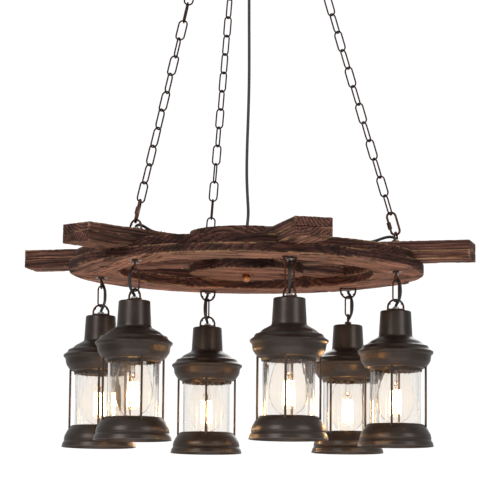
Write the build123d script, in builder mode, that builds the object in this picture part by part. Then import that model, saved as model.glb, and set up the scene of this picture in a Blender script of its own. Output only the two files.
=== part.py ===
from build123d import *
import os
from math import atan2, cos, degrees, hypot, pi, radians, sin, sqrt, tan

# Ship's-wheel chandelier: a laminated wooden wheel hung from a ceiling cup by three
# chains, with six glass lanterns that swing below its spokes on oval links.
# Origin: centre of the ceiling face of the cup. +Z up, +X to the right, -Y to the front.

os.makedirs("parts", exist_ok=True)

# ---------------------------------------------------------------- driving dimensions
# wooden wheel, heights measured up from its underside
board = 16.0
ring_outer = 310.0
ring_inner = 222.0
upper_ring_outer = 302.0
spoke_width = 64.0
spoke_inner = 58.0
spoke_tip = 400.0
spoke_low = board
spoke_top = 3 * board
hub_radius = 100.0
cover_height = 25.0
cover_top = spoke_top + cover_height
cover_pocket = 78.0
cover_roof = 8.0
wood_edge = 1.5
bolt_radius = 3.0
ball_radius = 8.0
collar = 1.2
screw_spots = ((236.0, 20.0), (296.0, -20.0))
screw_radius = 2.0
screw_length = 44.0
first_azimuth = -134.4
hook_radius = 266.0
chain_spokes = (0, 2, 4)

# wire loops, links and the hardware at each end of a lead
loop_wire = 3.5
loop_ring = 13.5
washer = 1.2
washer_radius = 11.0
strap = 2.6
strap_length = 31.0
strap_width = 11.0
loop_centre = 6.0
loop_reach = loop_centre + loop_ring
link_wire = 2.8
link_length = 36.8
link_half = 7.3
swing_gap = 0.25
chain_gap = 0.1
nipple_radius = 4.8
nipple_bore = 3.2
nipple_end = 5.2
nipple_hole = nipple_radius + 0.1
gland_radius = 5.4
gland_end = 7.0
lead = 5.0
main_lead = 5.2
connector = (44.0, 18.0, 12.0)
clip_spots = (204.0, 132.0)
clip_width = 5.0
clip_wall = 1.5

# quick link between a chain and its spoke
quick_wire = 4.0
quick_gap = 0.35
quick_length = 40.0
quick_half = 7.6
sleeve_radius = 3.75
sleeve_length = 12.0

# ceiling cup
cup_radius = 75.0
cup_depth = 28.0
cup_wall = 1.2
cup_loop_radius = 56.0
links_per_chain = 21
bracket_length = 118.0
bracket_width = 20.0
bracket_thickness = 2.0
bracket_screws = 88.0
bracket_hole = 2.6
wire_hole = 6.0
wire_hole_aside = 17.0
stud_radius = 2.0
stud_spacing = 64.0
cup_nut = 5.0
lock_nut = 3.2
grip_length = 14.0

# lantern, depths measured down from the top of its cap
sheet = 1.2
cap_hole = 5.0
glass_radius = 43.0
glass_wall = 2.5
glass_top = 94.0
glass_foot = 197.0
seat_inner = 38.5
seat_outer = 50.9
seat_depth = 197.0
rod_radius = 1.95
rod_circle = 52.0
rod_top = 96.0
rod_foot = 201.0
base_depth = 232.5
holder_radius = 19.5
holder_top = 24.0
holder_shoulder = 31.0
holder_foot = 80.0
holder_bore = 13.25
bulb_screw = 13.2
bulb_top = 51.0
bulb_neck = 79.0
bulb_foot = 193.0
bulb_wall = 1.0

# Each lantern: the direction in degrees of its wheel loop's plane, of its link's plane, of
# its own loop's plane and of its lead's bow, the bow's size, and its first rod's direction.
lanterns = (
    (90.0, 0.0, -45.0, -135.0, 1.15, -72.0),
    (45.0, 0.0, -45.0, -90.0, 1.0, -97.0),
    (90.0, 45.0, 0.0, -45.0, 1.05, -100.6),
    (0.0, 45.0, 90.0, -45.0, 1.0, -128.0),
    (20.0, 108.0, 15.0, -115.0, 1.14, -90.0),
    (90.0, 45.0, 0.0, -45.0, 1.0, -88.0),
)

# Each chain: the direction of its quick link's plane, of its first link's plane, and how
# much further than a quarter turn each link turns from the one below.
chains = ((85.0, 35.0, 5.0), (0.0, 60.0, -1.0), (105.6, 4.0, 4.5))

# ---------------------------------------------------------------- places worked out
azimuths = [first_azimuth + 60.0 * i for i in range(6)]
hang = (loop_wire + link_wire) / 2 + swing_gap
chain_pitch = link_length - link_wire - chain_gap
quick_start = (loop_wire + quick_wire) / 2 + quick_gap
first_link = quick_length - quick_start - (quick_wire + link_wire) / 2 - quick_gap
chain_length = (
    first_link + (links_per_chain - 1) * chain_pitch + link_length - (loop_wire + link_wire) / 2 - quick_gap
)
chain_rise = sqrt(chain_length**2 - (hook_radius - cup_loop_radius) ** 2)
wheel = -(cup_depth + loop_reach + chain_rise + loop_reach + spoke_top)
link_top = -loop_reach + hang
cap_top = wheel + link_top - link_length + hang - loop_reach


def around(radius, azimuth, height=0.0):
    """A point at a radius and a compass direction about the wheel's axis."""
    return (radius * cos(radians(azimuth)), radius * sin(radians(azimuth)), height)


def upright(x, y, z, direction=0.0):
    """A vertical plane whose X runs in the given direction and whose Y runs up."""
    a = radians(direction)
    return Plane(origin=(x, y, z), x_dir=(cos(a), sin(a), 0), z_dir=(sin(a), -cos(a), 0))


def axis_at(x, y):
    return Axis((x, y, 0), (0, 0, 1))


def depths(points):
    """Profile points given as (radius, depth) turned into sketch coordinates."""
    return [(r, -d) for r, d in points]


def save(part, name):
    part.label = name
    export_step(part, f"parts/{name}.step")


def spun_sheet(points, radii, wall, place, side):
    """A sheet of even thickness spun round a vertical axis, with rounded corners."""
    with BuildPart() as spun:
        with BuildSketch(upright(*place)):
            with BuildLine():
                FilletPolyline(*depths(points), radius=radii)
                offset(amount=wall, side=side)
            make_face()
        revolve(axis=axis_at(place[0], place[1]))
    return spun.part


def spun_ring(inner, outer, top, foot, place):
    """A plain ring, or a disc where inner is 0, between two depths below a place."""
    with BuildPart() as ring:
        with BuildSketch(Plane(origin=(place[0], place[1], place[2] - foot))):
            Circle(outer)
            if inner:
                Circle(inner, mode=Mode.SUBTRACT)
        extrude(amount=foot - top)
    return ring.part


def cord_path(points):
    """Straight runs joined by arcs as large as each pair of runs allows."""
    runs = [Vector(*q) - Vector(*p) for p, q in zip(points, points[1:])]
    radii = []
    for before, after in zip(runs, runs[1:]):
        half_turn = radians(before.get_angle(after)) / 2
        radii.append(0.45 * min(before.length, after.length) / tan(half_turn))
    return points, radii


def cord(points, diameter, name):
    """A round cord along a route, with its smallest radius and its volume checked."""
    points, radii = cord_path(points)
    with BuildPart() as tube:
        with BuildLine():
            route = FilletPolyline(*points, radius=radii)
        with BuildSketch(Plane(origin=route @ 0, z_dir=route % 0)):
            Circle(diameter / 2)
        sweep(path=route)
    length = route.length
    ratio = tube.part.volume / (pi * diameter**2 / 4 * length)
    print(f"{name}: length {length:.1f}, volume ratio {ratio:.4f}, radii", [round(r, 1) for r in radii])
    return tube.part


# ---------------------------------------------------------------- repeated hardware
with BuildPart() as oval_link:
    with BuildLine(Plane.XZ) as oval:
        straight = link_length / 2 - link_half
        Line((link_half, -straight), (link_half, straight))
        RadiusArc((link_half, straight), (-link_half, straight), -link_half)
        Line((-link_half, straight), (-link_half, -straight))
        RadiusArc((-link_half, -straight), (link_half, -straight), -link_half)
    with BuildSketch(Plane(origin=oval.line @ 0, z_dir=oval.line % 0)):
        Circle(link_wire / 2)
    sweep(path=oval.line)

with BuildPart() as wire_loop:
    # a horseshoe of wire standing on a flat strap, with a rib on each leg's inner side
    leg = degrees(atan2(loop_centre - washer - strap / 2, loop_ring))
    with BuildLine(Plane.XZ) as horseshoe:
        CenterArc((0, loop_centre - washer), loop_ring, -leg, 180 + 2 * leg)
    with BuildSketch(Plane(origin=horseshoe.line @ 0, z_dir=horseshoe.line % 0)):
        Circle(loop_wire / 2)
    sweep(path=horseshoe.line)
    with BuildSketch():
        SlotOverall(strap_length, strap_width)
        Circle(nipple_hole, mode=Mode.SUBTRACT)
    extrude(amount=strap)
    rib = loop_ring - loop_wire / 2
    for lean in (32, 148):
        with Locations((rib * cos(radians(lean)), 0, loop_centre - washer + rib * sin(radians(lean)))):
            Sphere(1.5)

with BuildPart() as washer_disc:
    with BuildSketch():
        Circle(washer_radius)
        Circle(nipple_hole, mode=Mode.SUBTRACT)
    extrude(amount=washer)

with BuildPart() as gland:
    # a small domed ferrule screwed over the end of a nipple
    with BuildSketch(Plane.XZ):
        with BuildLine():
            Polyline(
                (nipple_hole, 0),
                (gland_radius + 0.8, 0),
                (gland_radius + 0.8, 1.2),
                (gland_radius, 1.2),
                (gland_radius, 2.4),
                (lead / 2 + 1.6, gland_end - washer - strap),
                (lead / 2 + 1, gland_end - washer - strap),
                (lead / 2 + 0.05, nipple_end - washer - strap + 0.5),
                (lead / 2 + 0.05, nipple_end - washer - strap + 0.1),
                (nipple_hole, nipple_end - washer - strap + 0.1),
                close=True,
            )
        make_face()
    revolve(axis=Axis.Z)

with BuildPart() as hex_nut:
    with BuildSketch():
        RegularPolygon(8.5, 6)
        Circle(nipple_hole, mode=Mode.SUBTRACT)
    extrude(amount=strap)


def standing(x, y, z, direction=0.0):
    """Where a piece stands upright on a surface, turned to a direction."""
    return Plane(origin=(x, y, z), x_dir=around(1, direction)).location


def hanging(x, y, z, direction=0.0):
    """Where a piece hangs upside down from a surface, turned to a direction."""
    return Plane(origin=(x, y, z), x_dir=around(1, direction), z_dir=(0, 0, -1)).location


# ---------------------------------------------------------------- ceiling cup
with BuildPart() as ceiling_bracket:
    with BuildSketch(Plane.XY.offset(-bracket_thickness)):
        SlotOverall(bracket_length, bracket_width)
        with GridLocations(bracket_screws, 0, 2, 1):
            Circle(bracket_hole, mode=Mode.SUBTRACT)
        with GridLocations(stud_spacing, 0, 2, 1):
            Circle(stud_radius, mode=Mode.SUBTRACT)
        with Locations((wire_hole_aside, 0)):
            Circle(wire_hole, mode=Mode.SUBTRACT)
    extrude(amount=bracket_thickness)
save(ceiling_bracket.part, "ceiling_bracket")

cup_line = ((0.5, cup_depth), (cup_radius, cup_depth), (cup_radius, 0.0))
with BuildPart() as canopy_cup:
    with BuildSketch(Plane.XZ):
        with BuildLine():
            FilletPolyline(*depths(cup_line), radius=9.0)
            offset(amount=cup_wall, side=Side.LEFT)
        make_face()
    revolve(axis=Axis.Z)
    with BuildSketch(Plane.XY.offset(-cup_depth - 1)):
        Circle(nipple_hole)
        with PolarLocations(cup_loop_radius, 3, start_angle=first_azimuth):
            Circle(nipple_hole)
        with GridLocations(stud_spacing, 0, 2, 1):
            Circle(stud_radius + 0.2)
    extrude(amount=6, mode=Mode.SUBTRACT)
save(canopy_cup.part, "canopy_cup")

with BuildPart() as canopy_fittings:
    for i, (_, first_turn, extra_turn) in zip(chain_spokes, chains):
        # each loop stands square to the last link of its chain
        last_turn = first_turn + (90 + extra_turn) * (links_per_chain - 1)
        x, y, z = around(cup_loop_radius, azimuths[i], -cup_depth)
        with Locations(hanging(x, y, z - washer, last_turn + 90)):
            add(wire_loop.part)
        with Locations(hanging(x, y, z)):
            add(washer_disc.part)
        with Locations(standing(x, y, z + cup_wall)):
            add(hex_nut.part)
        with Locations((x, y, z - 0.5)):
            Cylinder(nipple_radius, 2 * nipple_end + 1)
    for x in (-stud_spacing / 2, stud_spacing / 2):
        # stud from the ceiling through the cup, its domed nut below and its lock nut above
        with Locations((x, 0, -(cup_depth + 1) / 2)):
            Cylinder(stud_radius - 0.05, cup_depth + 1)
        with Locations((x, 0, -cup_depth - cup_nut / 2)):
            Cylinder(4.5, cup_nut)
        with Locations((x, 0, -cup_depth - cup_nut)):
            Sphere(4.2)
        with Locations((x, 0, -bracket_thickness - lock_nut / 2)):
            Cylinder(4, lock_nut)
    # tapered cord grip in the middle
    for height, radius in ((-cup_depth, 9), (-cup_depth - grip_length, 5)):
        with BuildSketch(Plane.XY.offset(height)):
            Circle(radius)
            Circle(main_lead / 2 + 0.05, mode=Mode.SUBTRACT)
    loft()
save(canopy_fittings.part, "canopy_fittings")

# ---------------------------------------------------------------- wooden wheel
wheel_top = wheel + spoke_top


def screw_holes(mode=Mode.SUBTRACT):
    """Clearance holes for the wood screws, as circles of the current sketch."""
    for radius, aside in screw_spots:
        turn = first_azimuth + degrees(atan2(aside, radius))
        with PolarLocations(hypot(radius, aside), 6, start_angle=turn):
            Circle(screw_radius + 0.03, mode=mode)


with BuildPart() as ring_lower:
    with BuildSketch(Plane.XY.offset(wheel)):
        Circle(ring_outer)
        Circle(ring_inner, mode=Mode.SUBTRACT)
        with PolarLocations(hook_radius, 6, start_angle=first_azimuth):
            Circle(nipple_hole, mode=Mode.SUBTRACT)
    extrude(amount=board)
    chamfer(ring_lower.edges().filter_by(GeomType.CIRCLE).sort_by(SortBy.RADIUS)[-4:], wood_edge)
    with BuildSketch(Plane.XY.offset(wheel_top - screw_length)):
        screw_holes(Mode.ADD)
    extrude(amount=board, mode=Mode.SUBTRACT)
save(ring_lower.part, "ring_lower")

with BuildPart() as ring_upper:
    with BuildSketch(Plane.XY.offset(wheel + board)):
        Circle(upper_ring_outer)
        Circle(ring_inner, mode=Mode.SUBTRACT)
        with PolarLocations(hook_radius, 6, start_angle=first_azimuth):
            Rectangle(2 * board + ring_outer - ring_inner, spoke_width + 0.4, mode=Mode.SUBTRACT)
    extrude(amount=board)
    chamfer(ring_upper.faces().group_by(Axis.Z)[-1].edges(), wood_edge)
save(ring_upper.part, "ring_upper")

with BuildPart() as spokes:
    with BuildSketch(Plane.XY.offset(wheel + spoke_low)):
        with PolarLocations((spoke_inner + spoke_tip) / 2, 6, start_angle=first_azimuth):
            Rectangle(spoke_tip - spoke_inner, spoke_width)
        with PolarLocations(hook_radius, 6, start_angle=first_azimuth):
            Circle(nipple_hole, mode=Mode.SUBTRACT)
        screw_holes()
    extrude(amount=spoke_top - spoke_low)
    chamfer(spokes.edges().filter_by(GeomType.LINE), wood_edge)
save(spokes.part, "spokes")

with BuildPart() as hub_disc:
    with BuildSketch(Plane.XY.offset(wheel)):
        Circle(hub_radius)
        Circle(bolt_radius + 0.1, mode=Mode.SUBTRACT)
    extrude(amount=board)
    chamfer(hub_disc.edges().filter_by(GeomType.CIRCLE).sort_by(SortBy.RADIUS)[-2:], wood_edge)
save(hub_disc.part, "hub_disc")

with BuildPart() as hub_cover:
    with BuildSketch(Plane.XY.offset(wheel + spoke_top)):
        Circle(hub_radius)
    extrude(amount=cover_height)
    with BuildSketch(Plane.XY.offset(wheel + spoke_top)):
        Circle(cover_pocket)
    extrude(amount=cover_height - cover_roof, mode=Mode.SUBTRACT)
    with BuildSketch(Plane.XY.offset(wheel + spoke_top)):
        with PolarLocations(hub_radius - 10, 6, start_angle=first_azimuth):
            Rectangle(40, lead + 3)
    extrude(amount=lead + 2, mode=Mode.SUBTRACT)
    with Locations((0, 0, wheel + cover_top)):
        Hole(5.5)
    chamfer(hub_cover.faces().sort_by(Axis.Z)[-1].edges().sort_by(SortBy.RADIUS)[-1:], wood_edge)
save(hub_cover.part, "hub_cover")

ball_turn = radians(35)
ball_centre = wheel - collar - ball_radius * sin(ball_turn)
with BuildPart() as hub_bolt:
    # hexagon-headed bolt through the hub disc, and the ball nut that closes it below
    with BuildSketch(Plane.XY.offset(wheel + board)):
        RegularPolygon(5.8, 6)
    extrude(amount=4)
    with Locations((0, 0, wheel + board / 2 - 3)):
        Cylinder(bolt_radius, board + 6)
    with BuildSketch(Plane.XZ):
        with BuildLine():
            # half outline of the ball nut, with the flat collar it seats on
            Polyline(
                (bolt_radius + 0.05, wheel - 6),
                (bolt_radius + 0.05, wheel),
                (ball_radius - 1, wheel),
                (ball_radius - 1, wheel - collar),
                (ball_radius * cos(ball_turn), wheel - collar),
            )
            CenterArc((0, ball_centre), ball_radius, degrees(ball_turn), -90 - degrees(ball_turn))
            Polyline((0, ball_centre - ball_radius), (0, wheel - 6), (bolt_radius + 0.05, wheel - 6))
        make_face()
    revolve(axis=Axis.Z)
save(hub_bolt.part, "hub_bolt")

# ---------------------------------------------------------------- loops, nipples, glands
hooks = [around(hook_radius, azimuth) for azimuth in azimuths]
with BuildPart() as wheel_loops:
    for (x, y, z), plan in zip(hooks, lanterns):
        with Locations(hanging(x, y, wheel - washer, plan[0])):
            add(wire_loop.part)
    for i in chain_spokes:
        with Locations(standing(hooks[i][0], hooks[i][1], wheel_top + washer, azimuths[i] + 90)):
            add(wire_loop.part)
save(wheel_loops.part, "wheel_loops")

with BuildPart() as spoke_nipples:
    for i, (x, y, z) in enumerate(hooks):
        tube = spun_ring(nipple_bore, nipple_radius, -spoke_top - nipple_end, nipple_end, (x, y, wheel))
        add(tube)
        with Locations(hanging(x, y, wheel), standing(x, y, wheel_top)):
            add(washer_disc.part)
        with Locations(hanging(x, y, wheel - washer - strap)):
            add(gland.part)
        with Locations(standing(x, y, wheel_top + washer + strap)):
            add(gland.part)
        if i not in chain_spokes:
            with Locations(standing(x, y, wheel_top + washer)):
                add(hex_nut.part)
save(spoke_nipples.part, "spoke_nipples")

# ---------------------------------------------------------------- chains and quick links
with BuildPart() as quick_link:
    with BuildLine(Plane.XZ) as quick:
        straight = quick_length / 2 - quick_half
        Line((quick_half, -straight), (quick_half, straight))
        RadiusArc((quick_half, straight), (-quick_half, straight), -quick_half)
        Line((-quick_half, straight), (-quick_half, -straight))
        RadiusArc((-quick_half, -straight), (quick_half, -straight), -quick_half)
    with BuildSketch(Plane(origin=quick.line @ 0, z_dir=quick.line % 0)):
        Circle(quick_wire / 2)
    sweep(path=quick.line)

with BuildPart() as sleeve_nut:
    with BuildSketch(Plane(origin=(-quick_half, 0, -sleeve_length / 2 - 2))):
        RegularPolygon(sleeve_radius, 6)
        Circle(quick_wire / 2 + 0.02, mode=Mode.SUBTRACT)
    extrude(amount=sleeve_length)


def chain_place(azimuth, along, direction):
    """A place at a distance up a chain, its X turned to a direction about the chain."""
    lean = (cup_loop_radius - hook_radius) / chain_length
    up = Vector(*around(lean, azimuth, chain_rise / chain_length))
    foot = Vector(*around(hook_radius, azimuth, wheel_top + loop_reach))
    level = Vector(*around(1, azimuth + 90))
    turned = level.rotate(Axis((0, 0, 0), tuple(up)), direction - azimuth - 90)
    spot = foot + up * along
    return Plane(origin=tuple(spot), x_dir=tuple(turned), z_dir=tuple(up)).location


quick_places = []
link_places = []
for i, (quick_turn, first_turn, extra_turn) in zip(chain_spokes, chains):
    quick_places.append(chain_place(azimuths[i], quick_length / 2 - quick_start, quick_turn))
    for k in range(links_per_chain):
        along = first_link + k * chain_pitch + link_length / 2
        link_places.append(chain_place(azimuths[i], along, first_turn + (90 + extra_turn) * k))

with BuildPart() as chain_links:
    with Locations(*link_places):
        add(oval_link.part)
save(chain_links.part, "chain_links")

with BuildPart() as quick_links:
    with Locations(*quick_places):
        add(quick_link.part)
        add(sleeve_nut.part)
save(quick_links.part, "quick_links")

# ---------------------------------------------------------------- leads and cord
main_top = -cup_depth - grip_length
roof_foot = wheel + cover_top - cover_roof
grommet_top = wheel + cover_top + 5.0
cord_bends = (
    (0.0, 0.0), (1.2, 14.0), (2.6, 32.0), (0.4, 62.0), (-1.4, 100.0), (-0.9, 152.0), (0.6, 206.0),
    (1.5, 262.0), (1.1, 320.0), (0.3, 378.0), (-0.2, 436.0), (-0.3, 494.0), (-0.1, 552.0),
    (0.2, 606.0), (0.1, 660.0),
)
cord_points = [(x, 0.3 * x, grommet_top + rise) for x, rise in cord_bends]
cord_points.append((0.0, 0.0, main_top))
main_cord = cord(cord_points, main_lead, "main_cord")
save(main_cord, "main_cord")

# route of a lead from its gland over the spoke to the hub: (radius, height above the spoke)
lead_bed = lead / 2 + 0.1
lead_route = (
    (266.0, 2.5), (266.0, 8.0), (262.2, 11.0), (256.0, 12.0), (248.0, 11.2), (239.0, 8.2),
    (228.0, 4.6), (214.0, lead_bed + 0.1), (194.0, lead_bed), (165.0, lead_bed + 0.2),
    (132.0, lead_bed), (100.0, lead_bed + 0.1), (75.0, lead_bed + 0.4), (54.0, lead_bed + 1.0),
)
with BuildPart() as spoke_leads:
    for i, azimuth in enumerate(azimuths):
        wander = 1.5 if i % 2 else -1.5
        side_steps = (0, 0, 0, 0.2, 0.6, 1.0, 0.9, 0.2, 0, -1.2, 0, 0.3, 0.1, 0)
        route = []
        for (radius, height), step in zip(lead_route, side_steps):
            x, y, z = around(radius, azimuth, wheel_top + height)
            dx, dy, dz = around(wander * step, azimuth + 90)
            route.append((x + dx, y + dy, z))
        add(cord(route, lead, f"spoke_lead_{i + 1}"))
save(spoke_leads.part, "spoke_leads")

# a lead's bow beside its link: (offset sideways, depth below the wheel), and its mirror image
bow = ((0.0, 4.0), (0.0, 9.2), (3.4, 13.0), (6.6, 17.4), (9.2, 23.2), (10.6, 30.0))
drop = wheel - cap_top
with BuildPart() as drop_leads:
    for i, ((x, y, z), plan) in enumerate(zip(hooks, lanterns)):
        down = [(plan[4] * offset_out, depth) for offset_out, depth in bow]
        back = [(offset_out, drop - depth) for offset_out, depth in reversed(down)]
        route = []
        for offset_out, depth in down + back:
            dx, dy, dz = around(offset_out, plan[3])
            route.append((x + dx, y + dy, wheel - depth))
        add(cord(route, lead, f"drop_lead_{i + 1}"))
save(drop_leads.part, "drop_leads")

with BuildPart() as cord_fittings:
    # rubber grommet in the hub cover, and the connector blocks in the hub and in the cup
    with BuildSketch(Plane.XZ):
        with BuildLine():
            Polyline(
                (main_lead / 2 + 0.05, roof_foot - 2),
                (8, roof_foot - 2),
                (8, roof_foot),
                (5.4, roof_foot),
                (5.4, wheel + cover_top),
                (8, wheel + cover_top),
                (7.5, wheel + cover_top + 2),
                (main_lead / 2 + 1, grommet_top),
                (main_lead / 2 + 0.05, grommet_top),
                close=True,
            )
        make_face()
    revolve(axis=Axis.Z)
    with Locations((0, 0, wheel + spoke_low + 14), (0, 12, -13)):
        Box(*connector)
save(cord_fittings.part, "cord_fittings")

with BuildPart() as screws_and_clips:
    # pan-headed screws down through spoke and ring, and saddle clips over the leads
    for radius, aside in screw_spots:
        turn = first_azimuth + degrees(atan2(aside, radius))
        with BuildSketch(Plane.XY.offset(wheel_top)):
            with PolarLocations(hypot(radius, aside), 6, start_angle=turn):
                Circle(2 * screw_radius)
        extrude(amount=1.6, taper=25)
        with BuildSketch(Plane.XY.offset(wheel_top)):
            with PolarLocations(hypot(radius, aside), 6, start_angle=turn):
                Circle(screw_radius)
        extrude(amount=-screw_length)
    for azimuth in azimuths:
        for radius in clip_spots:
            x, y, z = around(radius, azimuth, wheel_top)
            with BuildSketch(upright(x, y, z, azimuth + 90)):
                with Locations((0, lead_bed)):
                    Circle(lead / 2 + 0.4 + clip_wall)
                with Locations((4, 1.4)):
                    Rectangle(9, 2.8)
                with Locations((0, lead_bed)):
                    Circle(lead / 2 + 0.4, mode=Mode.SUBTRACT)
                with Locations((0, lead_bed / 2 - 2)):
                    Rectangle(lead + 0.8, lead_bed + 4, mode=Mode.SUBTRACT)
                with Locations((0, -3)):
                    Rectangle(20, 6, mode=Mode.SUBTRACT)
            extrude(amount=clip_width / 2, both=True)
save(screws_and_clips.part, "screws_and_clips")

# ---------------------------------------------------------------- lanterns
cap_line = (
    (cap_hole, 0), (26.5, 0), (29, 45), (43, 52.5), (50, 58.5), (56, 60.5), (58.5, 65.5),
    (65, 70), (64.6, 73.5), (61.4, 76.5), (59.8, 87), (52.5, 97.5), (46, 100), (45.4, 105),
)
cap_radii = (3, 6, 6, 3, 2, 2.5, 1.2, 1.0, 1.2, 12, 5, 1.5)
base_line = (
    (45.8, 196.6), (46.3, 194.6), (48.2, 194.9), (55, 202.5), (60.3, 212.5), (61.6, 219),
    (61, 221.5), (64, 226), (65.6, base_depth),
)
base_radii = (0.6, 0.8, 12, 12, 1.2, 1.2, 4)
bulb_line = ((13, 80), (16.4, 90), (22.5, 108), (29.8, 135), (32, 153), (28.5, 172), (16, 188.5))


def inset(points, amount):
    return [(r - amount, d) for r, d in points]


for number, ((x, y, z), plan) in enumerate(zip(hooks, lanterns), start=1):
    top = (x, y, cap_top)
    link_centre = wheel + link_top - link_length / 2
    with BuildPart() as link:
        with Locations(standing(x, y, link_centre, plan[1])):
            add(oval_link.part)
    save(link.part, f"link_{number}")

    with BuildPart() as lantern_loop:
        with Locations(standing(x, y, cap_top + washer, plan[2])):
            add(wire_loop.part)
    save(lantern_loop.part, f"lantern_loop_{number}")

    with BuildPart() as cap:
        add(spun_sheet(cap_line, cap_radii, sheet, top, Side.RIGHT))
    save(cap.part, f"cap_{number}")

    with BuildPart() as lampholder:
        # threaded nipple with its washer, ferrule and nut, and the lampholder below the cap
        add(spun_ring(nipple_bore, nipple_radius, -nipple_end, holder_shoulder - 2, top))
        with Locations(standing(x, y, cap_top)):
            add(washer_disc.part)
        with Locations(standing(x, y, cap_top + washer + strap)):
            add(gland.part)
        with Locations(hanging(x, y, cap_top - sheet)):
            add(hex_nut.part)
        with BuildSketch(upright(*top)):
            with BuildLine():
                Polyline(
                    *depths(
                        (
                            (nipple_hole, holder_top),
                            (10, holder_top),
                            (10, holder_shoulder),
                            (holder_radius - 2, holder_shoulder),
                            (holder_radius, holder_shoulder + 2),
                            (holder_radius, holder_foot),
                            (holder_bore, holder_foot),
                            (holder_bore, bulb_top - 1),
                            (3, bulb_top - 1),
                            (3, holder_shoulder - 1),
                            (nipple_hole, holder_shoulder - 1),
                        )
                    ),
                    close=True,
                )
            make_face()
        revolve(axis=axis_at(x, y))
    save(lampholder.part, f"lampholder_{number}")

    with BuildPart() as cage:
        # spun base with the seat for the glass, and four rods up to the cap
        add(spun_sheet(base_line, base_radii, sheet, top, Side.LEFT))
        add(spun_ring(seat_inner, seat_outer, seat_depth, seat_depth + sheet, top))
        for quarter in range(4):
            rod_x, rod_y, rod_z = around(rod_circle, plan[5] + 90 * quarter)
            with Locations((x + rod_x, y + rod_y, cap_top - (rod_top + rod_foot) / 2)):
                Cylinder(rod_radius, rod_foot - rod_top)
    save(cage.part, f"cage_{number}")

    glass = spun_ring(glass_radius - glass_wall, glass_radius, glass_top, glass_foot, top)
    save(glass, f"glass_{number}")

    with BuildPart() as bulb:
        with BuildSketch(upright(*top)):
            with BuildLine():
                outer = Spline(*depths(bulb_line + ((0, bulb_foot),)), tangents=((0.25, -1), (-1, 0)))
                inner_points = inset(bulb_line, bulb_wall) + [(0, bulb_foot - bulb_wall)]
                inner = Spline(*depths(inner_points), tangents=((0.25, -1), (-1, 0)))
                Line(outer @ 0, inner @ 0)
                Line(outer @ 1, inner @ 1)
            make_face()
        revolve(axis=axis_at(x, y))
        add(spun_ring(0, bulb_screw, bulb_top, bulb_neck, top))
        add(spun_ring(0, 12.2, bulb_neck, 80.0, top))
        add(spun_ring(0, 4.0, bulb_top - 0.6, bulb_top, top))
    save(bulb.part, f"bulb_{number}")

print(f"wheel underside z {wheel:.3f}, cap top z {cap_top:.3f}")
print(f"chain {chain_length:.2f}, rise {chain_rise:.2f}")
print(f"lantern pivot below wheel {loop_reach:.2f} and {loop_reach - hang + link_length:.2f}")
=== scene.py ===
"""Looks of the ship's-wheel chandelier with six lanterns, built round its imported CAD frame."""

import random
from math import atan2, cos, degrees, exp, pi, radians, sin, tan

import bmesh
import bpy
import numpy as np
from mathutils import Matrix, Vector, noise


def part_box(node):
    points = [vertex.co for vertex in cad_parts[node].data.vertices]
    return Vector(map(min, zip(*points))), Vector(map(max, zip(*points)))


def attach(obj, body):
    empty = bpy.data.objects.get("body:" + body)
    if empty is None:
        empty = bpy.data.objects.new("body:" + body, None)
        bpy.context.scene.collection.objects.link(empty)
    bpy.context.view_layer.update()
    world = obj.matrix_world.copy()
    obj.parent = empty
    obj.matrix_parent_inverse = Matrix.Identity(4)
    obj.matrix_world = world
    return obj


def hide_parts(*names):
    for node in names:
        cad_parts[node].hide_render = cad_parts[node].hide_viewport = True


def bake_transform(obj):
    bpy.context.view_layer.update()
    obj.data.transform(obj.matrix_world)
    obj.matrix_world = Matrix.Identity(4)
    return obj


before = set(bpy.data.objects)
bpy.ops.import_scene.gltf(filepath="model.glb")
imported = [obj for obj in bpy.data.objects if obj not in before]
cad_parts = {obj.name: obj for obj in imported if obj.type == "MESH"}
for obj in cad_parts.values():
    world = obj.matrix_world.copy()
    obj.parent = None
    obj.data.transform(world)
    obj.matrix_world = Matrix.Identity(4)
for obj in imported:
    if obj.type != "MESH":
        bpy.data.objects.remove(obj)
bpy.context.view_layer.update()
random.seed(7)

# ---------------------------------------------------------------- places taken from the frame
MM = 0.001
NUMBERS = range(1, 7)


def node_centre(node):
    low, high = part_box(node)
    return (low + high) / 2


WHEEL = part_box("ring_lower")[0].z
CAP_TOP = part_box("cap_1")[1].z
HOOKS = [node_centre(f"cap_{n}") for n in NUMBERS]
AZIMUTHS = [degrees(atan2(hook.y, hook.x)) for hook in HOOKS]
MAIN_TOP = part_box("main_cord")[1].z
DROP = WHEEL - CAP_TOP

# wheel, in mm, heights measured up from its underside
BOARD = 16.0
RING_OUTER = 310.0
RING_INNER = 222.0
UPPER_OUTER = 302.0
SPOKE_WIDTH = 64.0
SPOKE_INNER = 58.0
SPOKE_TIP = 400.0
SPOKE_TOP = 48.0
HUB_RADIUS = 100.0
COVER_TOP = 73.0
COVER_POCKET = 78.0
COVER_ROOF = 8.0
LEAD = 5.0
MAIN_LEAD = 5.2
SCREW_SPOTS = ((236.0, 20.0), (296.0, -20.0))
CLIP_SPOTS = (204.0, 132.0)
ROD_CIRCLE = 52.0
ROD_RADIUS = 1.95
ROD_DIRECTIONS = (-72.0, -97.0, -100.6, -128.0, -90.0, -88.0)


def around(radius, azimuth, height=0.0):
    """A point in metres from a radius and height in mm and a direction about the wheel's axis."""
    turn = radians(azimuth)
    return Vector((radius * MM * cos(turn), radius * MM * sin(turn), height * MM))


# ---------------------------------------------------------------- node helpers
def new_material(name):
    """A new material, its node tree and its Principled shader."""
    material = bpy.data.materials.new(name)
    material.use_nodes = True
    tree = material.node_tree
    shader = tree.nodes["Principled BSDF"]
    return material, tree, shader


def add_node(tree, kind, **settings):
    node = tree.nodes.new("ShaderNode" + kind)
    for key, value in settings.items():
        setattr(node, key, value)
    return node


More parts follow.
